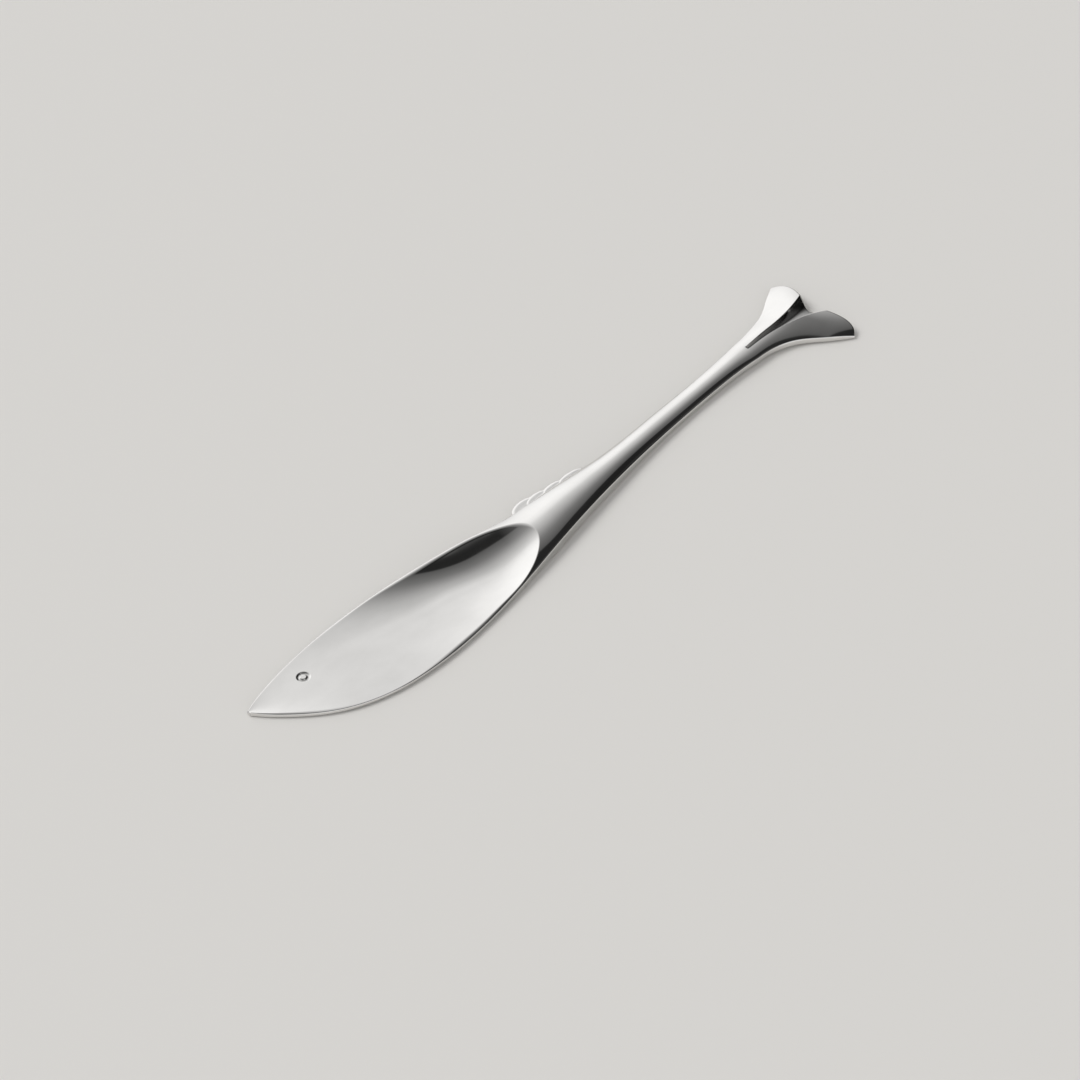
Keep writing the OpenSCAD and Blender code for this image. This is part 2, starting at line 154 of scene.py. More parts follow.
# Tail: its lobes, and the channel that starts as a slot and opens out between leaning walls
TAIL_LENGTH = 23.2
TAIL_SPAN = 25.9
ROOT_EDGE = 1.8
TIP_EDGE = 1.1
TAIL_SWAY = 0.5
TAIL_END_SLOPE = -0.05
LOBE_FLARE = 0.75
LOBE_RISE = 3.2
TIP_SETBACK = 1.8
CHANNEL_SETBACK = 1.5
CHANNEL_DEPTH = 1.95
NOTCH_DEPTH = 2.7
SLOT_EASE = 0.6
CUT_RUN = 0.5
SLOT_FLARE = 0.03
CHANNEL_FLARE = 0.5
SLOT_DIP = 0.1
CHANNEL_DIP = 0.03
UPRIGHT_POWER = 4
LEANING_POWER = 2.5
DOME_POWER = 2
RIDGE_POWER = 1.25
RIDGE_SHARE = 0.8
# Share of the half-width where a lobe reaches farthest
LOBE_CREST = 0.62
CREST_POWER = math.log(0.5, LOBE_CREST)
LOBE_BULGE = NOTCH_DEPTH + (TIP_SETBACK - NOTCH_DEPTH) * LOBE_CREST
END_RUN = 5
END_DROP = 0.5
SLOT_ROUND = 0.1
LIP_ROUND = 0.35
END_ROUND = 0.45
# Depth at which the channel's steel is fully dull and fully darkened by painted shade
DULL_AND_SHADE_DEPTH = 0.8
TAIL_END = TAIL_AT + TAIL_LENGTH
PAST_RUN = 2
PAST_END = TAIL_END + PAST_RUN
TIP_AT = TAIL_END - TIP_SETBACK
NOTCH_AT = TAIL_END - NOTCH_DEPTH
CHANNEL_AT = TAIL_AT + CHANNEL_SETBACK

# Light: the window's direction, and the sky's brightness from facing away from it (-1) to facing it (1)
WINDOW = (0.233, 0.897, 0.375)
SKY_LEVELS = [
    (-1, 0.3), (-0.8, 0.6), (-0.68, 0.6), (-0.58, 0.1), (0.15, 0.09),
    (0.22, 0.075), (0.29, 0.03), (0.34, 0.022), (0.455, 0.022), (0.47, 0.115), (0.52, 0.145),
    (0.6, 0.2), (0.64, 0.25), (0.7, 0.36), (0.76, 0.49), (0.82, 0.62), (0.875, 0.78),
    (0.9, 0.92), (0.93, 1.07), (0.96, 1.17), (1, 1.25),
]
# Sideways directions between which the window's light dims, and how far
SIDE_FROM = 0.64
SIDE_TO = 0.78
SIDE_LEVEL = 0.12
# The room's own brightness from the nose's side (-1) to the tail's side (1): all around, and in front
ROOM_LEVELS = [(-1, 0.6), (-0.75, 0.5), (-0.6, 0.3), (-0.48, 0.12), (-0.1, 0.05), (0.12, 0)]
FRONT_LEVELS = [(-1, 0.5), (0, 0.5), (0.2, 0.4), (0.3, 0)]
FRONT_FROM = -0.15
FRONT_TO = -0.45
# Lamps for the floor and the shadow: direction, strength and spread in degrees
WINDOW_LAMP = ((-0.4, 0.7, 0.9), 1.6, 35)
ROOM_LAMP = ((0.3, -0.5, 0.8), 0.6, 100)

# Steel: noise scales and detail, roughness, and colour from dark to light marks
LINE_SCALE = (120, 5000, 5000)
LINE_DETAIL = 2
LINE_ROUGHNESS = 0.025
LINE_HEIGHT = 1e-7
MARK_SCALE = (130, 220, 220)
MARK_DETAIL = 4
MARK_ROUGHNESS = (0.035, 0.075)
MARK_RANGE = (0.3, 0.7)
MARK_TINTS = ((0.755, 0.745, 0.73, 1), (0.80, 0.79, 0.775, 1))
RECESS_ROUGHNESS = 0.1
# Recesses: rougher steel, and their colour darkened by this factor as painted shade
RECESS_PAINTED_SHADE = 0.55

# Floor: its reach in metres, its gap under the solids, colour and roughness
FLOOR_REACH = 6
FLOOR_GAP = 0.05
FLOOR_COLOUR = (0.70, 0.685, 0.66, 1)
FLOOR_ROUGHNESS = 0.7

# Camera: the point it looks at, its direction and roll in degrees, its distance and its lens
LOOK_AT = (75.23, -10.06, 1)
CAMERA_AZIMUTH = -129.80
CAMERA_ELEVATION = 41.125
CAMERA_ROLL = -5.626
CAMERA_DISTANCE = 982.5
CAMERA_LENS = 157.74
SENSOR_WIDTH = 36

# Steps around rounded edges and ends, and rounds of the two searches
EDGE_STEPS = 5
END_STEPS = 6
END_PASSES = 12
FIN_HALVINGS = 30
# Keeps divisions away from nought
TINY = 1e-6


def mix(a, b, k):
    return a + (b - a) * k


def ease(k):
    c = np.clip(k, 0, 1)
    return c ** 3 * (10 + c * (6 * c - 15))


def unit(v):
    return v / np.linalg.norm(v, axis=-1, keepdims=True)


def soft_min(a, b, width):
    """The lower of two heights, with the crease between them rounded off over this height."""
    h = np.clip(0.5 + 0.5 * (b - a) / width, 0, 1)
    return mix(b, a, h) - width * h * (1 - h)


def spans(*parts):
    """Rising or falling stations from (start, end, steps) parts that follow on from each other."""
    stations = [np.linspace(start, end, steps, endpoint=False) for start, end, steps in parts]
    return np.concatenate([*stations, [parts[-1][1]]])


def curve(points, slope_in, slope_out):
    """A smooth curve through points (x, value) with the given slopes at its two ends."""
    x, y = np.array(points, float).T
    step = np.diff(x)
    slope = np.concatenate([[slope_in], np.diff(y) / step, [slope_out]])
    before = np.concatenate([[0], step])
    after = np.concatenate([step, [0]])
    rows = np.diag(2 * (before + after)) + np.diag(step, 1) + np.diag(step, -1)
    bend = np.linalg.solve(rows, 6 * np.diff(slope))

    def value(q):
        i = np.clip(np.searchsorted(x, q) - 1, 0, len(step) - 1)
        h, a, b = step[i], x[i + 1] - q, q - x[i]
        swing = (bend[i] * a ** 3 + bend[i + 1] * b ** 3) / (6 * h)
        return swing + (y[i] / h - bend[i] * h / 6) * a + (y[i + 1] / h - bend[i + 1] * h / 6) * b

    return value


# Outline of the body seen from above
nose_back = NOSE_WIDTH / 2 - NOSE_DROP
nose_belly = -NOSE_WIDTH / 2 - NOSE_DROP
neck_belly = -NECK_DROP - NECK_WIDTH
root_back = ROOT_MID + ROOT_WIDTH / 2
root_belly = ROOT_MID - ROOT_WIDTH / 2
back_front = curve([
    (0, nose_back),
    (WIDE_AT / 3, mix(nose_back, BACK_HEIGHT, 0.57)),
    (WIDE_AT, BACK_HEIGHT),
    (WIDE_AT + 0.53 * REAR_BLADE, mix(BACK_HEIGHT, -NECK_DROP, 0.48)),
    (WIDE_AT + 0.86 * REAR_BLADE, mix(BACK_HEIGHT, -NECK_DROP, 0.955)),
    (BLADE_LENGTH, -NECK_DROP),
], NOSE_BACK_SLOPE, 0)
back_rear = curve([
    (FIN_END, -NECK_DROP),
    (FIN_END + 0.43 * AFTER_FIN, mix(-NECK_DROP, root_back, 0.37)),
    (TAIL_AT, root_back),
], 0, ROOT_BACK_SLOPE)
belly = curve([
    (0, nose_belly),
    (0.14 * WIDE_AT, mix(nose_belly, -BELLY_DEPTH, 0.33)),
    (0.34 * WIDE_AT, mix(nose_belly, -BELLY_DEPTH, 0.66)),
    (0.61 * WIDE_AT, mix(nose_belly, -BELLY_DEPTH, 0.9)),
    (WIDE_AT, -BELLY_DEPTH),
    (WIDE_AT + 0.4 * REAR_BLADE, mix(-BELLY_DEPTH, neck_belly, 0.21)),
    (BLADE_LENGTH, neck_belly),
    (BLADE_LENGTH + 0.27 * HANDLE_LENGTH, mix(neck_belly, root_belly, 0.4)),
    (BLADE_LENGTH + 0.59 * HANDLE_LENGTH, mix(neck_belly, root_belly, 0.78)),
    (BLADE_LENGTH + 0.84 * HANDLE_LENGTH, mix(neck_belly, root_belly, 0.96)),
    (TAIL_AT, root_belly),
], NOSE_BELLY_SLOPE, ROOT_BELLY_SLOPE)


def back(x):
    behind_fin = np.where(x < FIN_END, -NECK_DROP, back_rear(x))
    return np.where(x < BLADE_LENGTH, back_front(x), behind_fin)


def mid(x):
    return (back(x) + belly(x)) / 2


def half(x):
    return (back(x) - belly(x)) / 2


# Heights along the body: side wall, dome, underside's edge, and back edge beside the dish
edge_height = curve([
    (0, 0.9 * BLADE_EDGE),
    (WIDE_AT, BLADE_EDGE),
    (WIDE_AT + 0.63 * REAR_BLADE, mix(BLADE_EDGE, NECK_EDGE, 0.25)),
    (BLADE_LENGTH, NECK_EDGE),
    (BLADE_LENGTH + 0.2 * HANDLE_LENGTH, NECK_EDGE + NECK_SWELL),
    (BLADE_LENGTH + 0.74 * HANDLE_LENGTH, WAIST_EDGE),
    (TAIL_AT, ROOT_EDGE),
], 0, 0)
dome_height = curve([
    (0, NOSE_DOME),
    (WIDE_AT, 1.13 * NECK_DOME),
    (WIDE_AT + 0.63 * REAR_BLADE, 1.08 * NECK_DOME),
    (BLADE_LENGTH, NECK_DOME),
    (BLADE_LENGTH + 0.2 * HANDLE_LENGTH, mix(NECK_DOME, WAIST_DOME, 0.3)),
    (BLADE_LENGTH + 0.37 * HANDLE_LENGTH, mix(NECK_DOME, WAIST_DOME, 0.58)),
    (BLADE_LENGTH + 0.7 * HANDLE_LENGTH, WAIST_DOME),
    (TAIL_AT, ROOT_DOME),
], 0, 0)
lift = curve([
    (0, NOSE_LIFT),
    (WIDE_AT + 0.63 * REAR_BLADE, REAR_LIFT),
    (BLADE_LENGTH + 0.2 * HANDLE_LENGTH, NECK_LIFT),
    (BLADE_LENGTH + 0.7 * HANDLE_LENGTH, WAIST_LIFT),
    (TAIL_AT, ROOT_LIFT),
], 0, 0)
spine_line = curve([
    (SPINE_START, 0),
    (WIDE_AT, 0.1 * SPINE_HEIGHT),
    (WIDE_AT + 0.25 * REAR_BLADE, 0.5 * SPINE_HEIGHT),
    (WIDE_AT + 0.45 * REAR_BLADE, 0.81 * SPINE_HEIGHT),
    (WIDE_AT + 0.67 * REAR_BLADE, SPINE_HEIGHT),
    (WIDE_AT + 0.8 * REAR_BLADE, 0.71 * SPINE_HEIGHT),
    (BLADE_LENGTH, 0.06 * SPINE_HEIGHT),
    (SPINE_END, 0),
], 0, 0)


def across(x, y):
    """Place across the body, from 1 at the back to -1 at the belly."""
    return (y - mid(x)) / half(x)


def turn_up(share):
    """How far the underside turns up: not at all in its flat middle, and fully at its edges."""
    return np.maximum(0, (np.abs(share) - FLAT_SHARE) / (1 - FLAT_SHARE)) ** 2


def underside(x, y):
    return lift(x) * turn_up(across(x, y))


def spine(x):
    return spine_line(np.clip(x, SPINE_START, SPINE_END))


def dome(x, y):
    t = across(x, y)
    return edge_height(x) + spine(x) * (t + 1) / 2 + dome_height(x) * (1 - t * t)


# The dish: its floor, its lowest line and its walls' bows, with the steeper one on the back's side
floor_line = curve([
    (0, FLOOR_THICKNESS),
    (0.6 * WIDE_AT, FLOOR_THICKNESS),
    (WIDE_AT + 0.25 * REAR_BLADE, mix(FLOOR_THICKNESS, DISH_FLOOR, 0.45)),
    (WIDE_AT + 0.5 * REAR_BLADE, DISH_FLOOR),
    (DISH_END, DISH_FLOOR),
], 0, 0)
dish_axis = curve([
    (0, 0.39),
    (WIDE_AT, 0.34),
    (WIDE_AT + 0.25 * REAR_BLADE, 0.2),
    (WIDE_AT + 0.45 * REAR_BLADE, 0.12),
    (WIDE_AT + 0.67 * REAR_BLADE, -0.11),
    (DISH_END, -0.1),
], 0, 0)
back_bow = curve([
    (0, 0.08),
    (0.6 * WIDE_AT, 0.2),
    (WIDE_AT, 0.9),
    (WIDE_AT + 0.25 * REAR_BLADE, 2),
    (WIDE_AT + 0.45 * REAR_BLADE, 2.8),
    (WIDE_AT + 0.67 * REAR_BLADE, 2.4),
    (DISH_END, 1.9),
], 0, 0)
belly_bow = curve([
    (0, 0.1),
    (0.6 * WIDE_AT, 0.02),
    (WIDE_AT, 0.09),
    (WIDE_AT + 0.25 * REAR_BLADE, 0.29),
    (WIDE_AT + 0.45 * REAR_BLADE, 0.52),
    (WIDE_AT + 0.67 * REAR_BLADE, 1.3),
    (DISH_END, 2.35),
], 0, 0)
dish_top = dome(DISH_END, mid(DISH_END) + dish_axis(DISH_END) * half(DISH_END))


def dish(x, y):
    off = across(x, y) - dish_axis(x)
    climb = np.maximum(0, (x - DISH_START) / (DISH_END - DISH_START)) ** DISH_CLIMB
    bow = mix(belly_bow(x), back_bow(x), ease(0.5 + 2 * off))
    return mix(floor_line(x), dish_top, climb) + bow * off ** 2


def rim_round(x, y):
    """Rounding of the dish's rim, softer on the back's side."""
    rearward = ease((x - WIDE_AT) / BACK_RIM_RUN)
    backward = ease((across(x, y) - BACK_RIM_FROM) / (BACK_RIM_TO - BACK_RIM_FROM))
    return RIM_ROUND + BACK_RIM_ROUND * rearward * backward


def eye_cut(x, y):
    """Depth of the ring and of the pupil's seat below the blade's face."""
    r = np.hypot(x - EYE_AT, y + EYE_DROP)
    ring = RING_DEPTH * ease((EYE_RING_R - r) / (EYE_RING_R - BORE_R))
    seat = SEAT_DEPTH * ease((BORE_R - r) / (BORE_R - PUPIL_R))
    return ring + seat


def blade_face(x, y):
    return soft_min(dome(x, y), dish(x, y), rim_round(x, y))


def blade_top(x, y):
    return blade_face(x, y) - eye_cut(x, y)


# Tail: centre line, half-width, heights and channel
tail_mid = curve([
    (TAIL_AT, ROOT_MID),
    (TAIL_AT + 0.3 * TAIL_LENGTH, ROOT_MID + 1.1 * TAIL_SWAY),
    (TAIL_AT + 0.52 * TAIL_LENGTH, ROOT_MID + 0.8 * TAIL_SWAY),
    (TAIL_AT + 0.73 * TAIL_LENGTH, ROOT_MID),
    (TAIL_END, ROOT_MID - 0.6 * TAIL_SWAY),
], (ROOT_BACK_SLOPE + ROOT_BELLY_SLOPE) / 2, TAIL_END_SLOPE)
tail_half = curve([
    (TAIL_AT, ROOT_WIDTH / 2),
    (TAIL_AT + 0.17 * TAIL_LENGTH, mix(ROOT_WIDTH, TAIL_SPAN, 0.035) / 2),
    (TAIL_AT + 0.35 * TAIL_LENGTH, mix(ROOT_WIDTH, TAIL_SPAN, 0.13) / 2),
    (TAIL_AT + 0.52 * TAIL_LENGTH, mix(ROOT_WIDTH, TAIL_SPAN, 0.3) / 2),
    (TAIL_AT + 0.73 * TAIL_LENGTH, mix(ROOT_WIDTH, TAIL_SPAN, 0.67) / 2),
    (TIP_AT, TAIL_SPAN / 2),
    (PAST_END, mix(ROOT_WIDTH, TAIL_SPAN, 1.3) / 2),
], (ROOT_BACK_SLOPE - ROOT_BELLY_SLOPE) / 2, LOBE_FLARE)
tail_edge = curve([
    (TAIL_AT, ROOT_EDGE),
    (TAIL_AT + 0.4 * TAIL_LENGTH, mix(ROOT_EDGE, TIP_EDGE, 0.25)),
    (PAST_END, TIP_EDGE),
], 0, 0)
lobe_slope = 2 * LOBE_RISE / TAIL_SPAN
tail_slope = curve([
    (TAIL_AT, 2 * ROOT_DOME / ROOT_WIDTH),
    (TAIL_AT + 0.7 * TAIL_LENGTH, lobe_slope),
    (PAST_END, 0.9 * lobe_slope),
], 0, 0)
channel_half = curve([
    (CHANNEL_AT, 0.07 * ROOT_WIDTH),
    (mix(CHANNEL_AT, TAIL_END, 0.27), 0.105 * ROOT_WIDTH),
    (mix(CHANNEL_AT, TAIL_END, 0.45), 0.15 * ROOT_WIDTH),
    (mix(CHANNEL_AT, TAIL_END, 0.62), 0.24 * ROOT_WIDTH),
    (mix(CHANNEL_AT, TAIL_END, 0.76), 0.36 * ROOT_WIDTH),
    (PAST_END, 0.82 * ROOT_WIDTH),
], SLOT_FLARE, CHANNEL_FLARE)
channel_floor = curve([
    (CHANNEL_AT, 0.3 * CHANNEL_DEPTH),
    (mix(CHANNEL_AT, TAIL_END, 0.15), 0.43 * CHANNEL_DEPTH),
    (mix(CHANNEL_AT, TAIL_END, 0.6), 0.82 * CHANNEL_DEPTH),
    (PAST_END, CHANNEL_DEPTH),
], SLOT_DIP, CHANNEL_DIP)


def lip(x):
    return channel_half(np.maximum(CHANNEL_AT, x))


def channel(x):
    return channel_floor(np.maximum(CHANNEL_AT, x)) * ease((x - CHANNEL_AT + SLOT_EASE / 2) / SLOT_EASE)


def end_line(share):
    """Where the lobes end, from the notch at share 0 past the crest to the tips at share 1."""
    return mix(NOTCH_AT, TIP_AT, share) + LOBE_BULGE * np.sin(math.pi * share ** CREST_POWER)


def end_fall(x, share):
    """How far the lobes' ends round off downwards."""
    return END_DROP * np.maximum(0, 1 - (end_line(share) - x) / END_RUN) ** 2


def tail_surface(x, away):
    """Height of the lobes before the channel is cut, at this distance from the centre line."""
    share = away / tail_half(x)
    power = mix(DOME_POWER, RIDGE_POWER, ease((x - TAIL_AT) / (RIDGE_SHARE * TAIL_LENGTH)))
    rise = tail_slope(x) * tail_half(x)
    return tail_edge(x) + rise * (1 - share ** power) - end_fall(x, share)


def tail_top(x, y):
    away = np.abs(y - tail_mid(x))
    skin = tail_surface(x, away)
    share = np.minimum(2, away / lip(x))
    opened = ease((x - CHANNEL_AT) / (TAIL_END - CHANNEL_AT))
    wall = share ** mix(UPRIGHT_POWER, LEANING_POWER, opened)
    groove = tail_surface(x, lip(x)) - channel(x) * (1 - wall)
    lip_round = mix(SLOT_ROUND, LIP_ROUND, opened)
    cut = ease((x - CHANNEL_AT + CUT_RUN) / CUT_RUN)
    return mix(skin, soft_min(skin, groove, lip_round), cut)


def tail_underside(x, y):
    along = np.clip((x - TAIL_AT) / (NOTCH_AT - TAIL_AT), 0, 1)
    return ROOT_LIFT * (1 - along) * turn_up((y - tail_mid(x)) / tail_half(x))


def tail_reach(x, k):
    """Distance of a line of points from the centre line: k below 1 in the channel, then on the lobe."""
    return np.where(k <= 1, k * lip(x), mix(lip(x), tail_half(x) - EDGE_ROUND, k - 1))


def tail_line_end(k):
    """Where one line of points meets the rounded end of its lobe."""
    x = np.full_like(k, NOTCH_AT)
    for _ in range(END_PASSES):
        x = end_line(tail_reach(x, k) / tail_half(x))
    return x - END_ROUND


# Scallops of the fin: centre, half-length and half-width in shares of the fin, and lean in degrees
SCALLOPS = [
    (0.176, 0.14, 0.182, 0.86, 7),
    (0.349, 0.23, 0.154, 0.58, 6),
    (0.571, 0.18, 0.147, 0.515, 4),
    (0.823, 0.07, 0.177, 0.545, 0),
]
fin_inset = EDGE_ROUND + FIN_STEP
fin_low = float(lift(BLADE_LENGTH)) + fin_inset
fin_high = NECK_EDGE - fin_inset


def inside_scallop(x, y, scallop):
    """Distance inside the edge of one scallop, for places measured from the fin's front and root."""
    along, off, long, wide, lean = scallop
    c, s = math.cos(math.radians(lean)), math.sin(math.radians(lean))
    dx, dy = x - along * FIN_LENGTH, y - off * FIN_REACH
    u = (c * dx + s * dy) / (long * FIN_LENGTH)
    v = (c * dy - s * dx) / (wide * FIN_REACH)
    q = np.hypot(u, v)
    steep = np.hypot(u / (long * FIN_LENGTH), v / (wide * FIN_REACH)) / np.maximum(q, TINY)
    return (1 - q) / np.maximum(steep, TINY)


def fin_outline(x):
    """Reach of the fin's outline from its root, found by halving from past its highest place."""
    low = np.zeros_like(x)
    high = np.full_like(x, FIN_LIMIT)
    for _ in range(FIN_HALVINGS):
        middle = (low + high) / 2
        inside = np.max([inside_scallop(x, middle, s) for s in SCALLOPS], 0) > 0
        low = np.where(inside, middle, low)
        high = np.where(inside, high, middle)
    return low


def fin_face(x, y):
    """Height of the fin's face: overlapping scallops with falling rims and shallow pockets."""
    px, py = x - FIN_AT, y + NECK_DROP
    faces = []
    for below_last, scallop in enumerate(reversed(SCALLOPS)):
        depth = inside_scallop(px, py, scallop)
        fall = SCALLOP_DROP * np.clip(1 - depth / SCALLOP_RIM, 0, 2) ** 2
        pocket = POCKET_DEPTH * ease((depth - POCKET_FROM) / POCKET_RUN)
        faces.append(fin_high - below_last * SCALLOP_STEP - fall - pocket)
    return np.max(faces, 0)


def fin_underside(x, y):
    return np.full_like(x, fin_low)


# Meshes
side_shift = (BELLY_DEPTH - float(tail_mid(TIP_AT)) - TAIL_SPAN / 2) / 2


def place(points):
    """Points in millimetres from the nose and the tail's line, as metres in the frame."""
    return (np.asarray(points, float) + (NOSE, side_shift, 0)) * MM * INSIDE


def surface_normals(height, x, y, side):
    """Normals of the surface at this height: upwards for side 1 and downwards for side -1."""
    step = 0.01
    slope_x = (height(x + step, y) - height(x - step, y)) / (2 * step)
    slope_y = (height(x, y + step) - height(x, y - step)) / (2 * step)
    return side * unit(np.stack([-slope_x, -slope_y, np.ones_like(slope_x)], -1))


def wall_normals(edge, x, side):
    """Outward normals of the wall on one line of the outline: side 1 faces the back, -1 the belly."""
    step = 0.05
    slope = (edge(x + step) - edge(x - step)) / (2 * step)
    return unit(np.stack([-side * slope, np.full_like(slope, side), np.zeros_like(slope)], -1))


def half_section(x, y, height, up, radius, walls):
    """One face of a row of cross-sections, from back to belly, with its edges rounded into the walls.

    Returns the points, their normals and the directions in which a rounded end draws them in.
    """
    points = np.stack([x, y, height(x, y)], -1)
    normals = surface_normals(height, x, y, up)
    facing = np.zeros_like(points) + (0, 0, up)
    parts = [(points, normals, facing)]
    share = np.linspace(0, 1, EDGE_STEPS + 1)[1:, None]
    for side, wall in walls.items():
        edge = 0 if side > 0 else -1
        inner, slant = points[:, edge, None], normals[:, edge, None]
        reach = side * radius[:, None]
        corner = inner.copy()
        corner[..., 1] += reach
        corner[..., 2] -= reach * slant[..., 1] / slant[..., 2]
        outer = corner.copy()
        outer[..., 2] -= up * radius[:, None]
        turn = (1 - share) ** 2 * inner + 2 * share * (1 - share) * corner + share ** 2 * outer
        lean = unit(mix(slant, wall[:, None], share))
        draw = unit(mix(np.array((0, 0, up)), np.array((0, side, 0)), share)) + np.zeros_like(turn)
        if side > 0:
            parts.insert(0, (turn[:, ::-1], lean[:, ::-1], draw[:, ::-1]))
        else:
            parts.append((turn, lean, draw))
    return [np.concatenate(arrays, 1) for arrays in zip(*parts)]


def sections(x, y, top, low, radius, walls):
    """Closed cross-sections: over the top from the back to the belly, then back underneath."""
    over = half_section(x, y, top, 1, radius, walls)
    under = half_section(x, y, low, -1, radius, walls)
    return [np.concatenate([a, b[:, ::-1]], 1) for a, b in zip(over, under)]


def rounded_end(points, normals, facing, outward, radius):
    """Sections that carry one end section on to a flat end, round a rounded edge."""
    rows = []
    for turn in np.linspace(0, math.pi / 2, END_STEPS + 1)[1:]:
        ahead = np.sign(outward[:, :1]) * (radius * math.sin(turn), 0, 0)
        drawn_in = facing * radius * (1 - math.cos(turn))
        turned = unit(normals * math.cos(turn) + outward * math.sin(turn))
        rows.append((points + ahead - drawn_in, turned))
    return [np.array(arrays) for arrays in zip(*rows)]


def loft(name, points, normals, recess=None):
    """A closed piece over a row of cross-sections with flat ends, marked with how deep it is recessed."""
    count, size = points.shape[:2]
    index = np.arange(count * size).reshape(count, size)
    after = np.roll(index, -1, 1)
    skin = np.stack([index[:-1], after[:-1], after[1:], index[1:]], -1).reshape(-1, 4)
    ends = []
    for row, step in ((index[0], 1), (index[-1], -1)):
        over, under = row[:size // 2], row[::-1][:size // 2]
        ends.append(np.stack([over[:-1], under[:-1], under[1:], over[1:]], -1)[:, ::step])
    mesh = bpy.data.meshes.new(name)
    mesh.from_pydata(place(points.reshape(-1, 3)).tolist(), [], np.concatenate([skin, *ends]).tolist())
    mesh.polygons.foreach_set("use_smooth", np.ones(len(mesh.polygons), bool))
    flat = np.array([p.normal for p in mesh.polygons[len(skin):]])
    on_skin = normals.reshape(-1, 3)[skin.ravel()]
    mesh.normals_split_custom_set(np.concatenate([on_skin, np.repeat(flat, 4, 0)]).tolist())
    depth = np.zeros(count * size) if recess is None else recess.ravel()
    attribute = mesh.attributes.new("recess", "FLOAT", "POINT")
    attribute.data.foreach_set("value", depth.astype(np.float32))
    piece = bpy.data.objects.new(name, mesh)
    bpy.context.scene.collection.objects.link(piece)
    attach(piece, "root")
    return piece


def blade_piece():
    """The blade, with finer sections around the eye and at both ends, and a rounded nose."""
    eye_share = float((-EYE_DROP - mid(EYE_AT)) / half(EYE_AT))
    eye_window = EYE_REACH / float(half(EYE_AT))
    shares = spans(
        (1, eye_share + eye_window, 24),
        (eye_share + eye_window, eye_share - eye_window, 44),
        (eye_share - eye_window, -1, 84),
    )
    nose_round = NOSE_WIDTH / 3
    fine_end = 4
    stations = spans(
        (nose_round, fine_end, 18),
        (fine_end, EYE_AT - EYE_REACH, 26),
        (EYE_AT - EYE_REACH, EYE_AT + EYE_REACH, 44),
        (EYE_AT + EYE_REACH, DISH_START, 70),
        (DISH_START, DISH_END - fine_end, 44),
        (DISH_END - fine_end, BLADE_LENGTH, 50),
    )
    radius = np.minimum(EDGE_ROUND, half(stations) / 3)
    x = stations[:, None] + 0 * shares
    y = mid(x) + shares * (half(x) - radius[:, None])
    walls = {1: wall_normals(back, stations, 1), -1: wall_normals(belly, stations, -1)}
    points, normals, facing = sections(x, y, blade_top, underside, radius, walls)
    outward = np.zeros_like(points[0]) + (-1, 0, 0)
    tip_points, tip_normals = rounded_end(points[0], normals[0], facing[0], outward, nose_round)
    points = np.concatenate([tip_points[::-1], points])
    normals = np.concatenate([tip_normals[::-1], normals])
    # The eye's ring is marked for rougher steel and for painted shade that darkens its colour
    in_ring = np.clip(eye_cut(points[..., 0], points[..., 1]) / RING_DEPTH, 0, 1) * (normals[..., 2] > 0)
    return loft("polished_blade", points, normals, EYE_DULL_AND_SHADE * in_ring)


def handle_piece():
    """The domed handle, between two flat ends."""
    shares = np.linspace(1, -1, 72)
    stations = np.linspace(BLADE_LENGTH, TAIL_AT, 120)
    radius = np.full_like(stations, EDGE_ROUND)
    x = stations[:, None] + 0 * shares
    y = mid(x) + shares * (half(x) - EDGE_ROUND)
    walls = {1: wall_normals(back, stations, 1), -1: wall_normals(belly, stations, -1)}
    points, normals, _ = sections(x, y, dome, underside, radius, walls)
    return loft("polished_handle", points, normals)


def tail_piece():
    """The tail, with lines of points along its lobes and channel that gather at the lips."""
    lobe_gather, channel_gather = 1.6, 1.4
    lobe = 1 + np.linspace(0, 1, 40) ** lobe_gather
    inner = 1 - np.linspace(0, 1, 26) ** channel_gather
    one_side = np.concatenate([lobe[::-1], inner[1:]])
    lines = np.concatenate([one_side, -one_side[-2::-1]])
    start = CHANNEL_SETBACK / (NOTCH_AT - TAIL_AT)
    slot_from, slot_to, end_from = 0.6 * start, 1.5 * start, 0.87
    shares = spans(
        (0, slot_from, 8),
        (slot_from, slot_to, 30),
        (slot_to, end_from, 70),
        (end_from, 1, 36),
    )
    k = np.abs(lines)
    x = mix(TAIL_AT, tail_line_end(k), shares[:, None])
    y = tail_mid(x) + np.sign(lines) * tail_reach(x, k)
    radius = np.full_like(shares, EDGE_ROUND)
    walls = {
        1: wall_normals(lambda q: tail_mid(q) + tail_half(q), x[:, 0], 1),
        -1: wall_normals(lambda q: tail_mid(q) - tail_half(q), x[:, -1], -1),
    }
    points, normals, facing = sections(x, y, tail_top, tail_underside, radius, walls)
    along_end = np.stack([-np.gradient(y[-1]), np.gradient(x[-1]), 0 * x[-1]], -1)
    end_wall = np.pad(unit(along_end), ((EDGE_STEPS, EDGE_STEPS), (0, 0)), "edge")
    outward = np.concatenate([end_wall, end_wall[::-1]])
    end_points, end_normals = rounded_end(points[-1], normals[-1], facing[-1], outward, END_ROUND)
    points = np.concatenate([points, end_points])
    normals = np.concatenate([normals, end_normals])
    # The channel is marked for rougher steel and for painted shade that darkens its colour with depth
    along, away = points[..., 0], np.abs(points[..., 1] - tail_mid(points[..., 0]))
    sunk = tail_surface(along, away) - points[..., 2]
    in_channel = (away < lip(along)) & (normals[..., 2] > 0)
    return loft("polished_tail", points, normals, np.clip(sunk / DULL_AND_SHADE_DEPTH, 0, 1) * in_channel)


